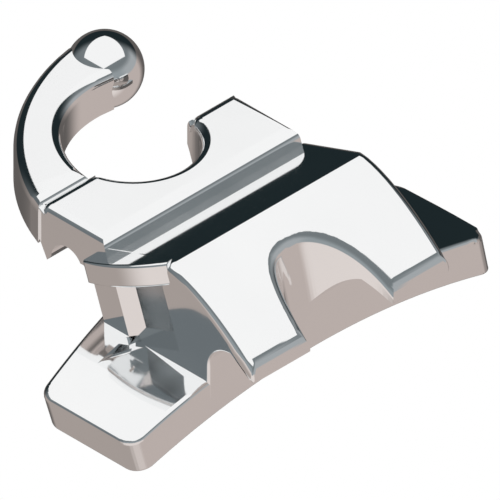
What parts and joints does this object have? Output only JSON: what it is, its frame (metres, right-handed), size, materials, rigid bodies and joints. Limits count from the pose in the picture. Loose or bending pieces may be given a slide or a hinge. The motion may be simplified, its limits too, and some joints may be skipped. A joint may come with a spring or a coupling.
{
  "type": "buccal tube",
  "caption": "Orthodontic molar tube: curved bonding base, torqued rectangular slot, tie wings and a ball hook on a curved arm.",
  "frame": {"origin": "under the slot's axis, midway between the ends of the base and level with its lowest edges", "axes": "+X along the slot towards the far mouth, +Y gingival towards the hook, +Z buccal, away from the tooth"},
  "size_m": [0.006, 0.0055, 0.0023],
  "materials": {
    "polished_steel": "mirror polish"
  },
  "bodies": {
    "root": {"buccal_tube": "polished_steel"}
  },
  "joints": []
}
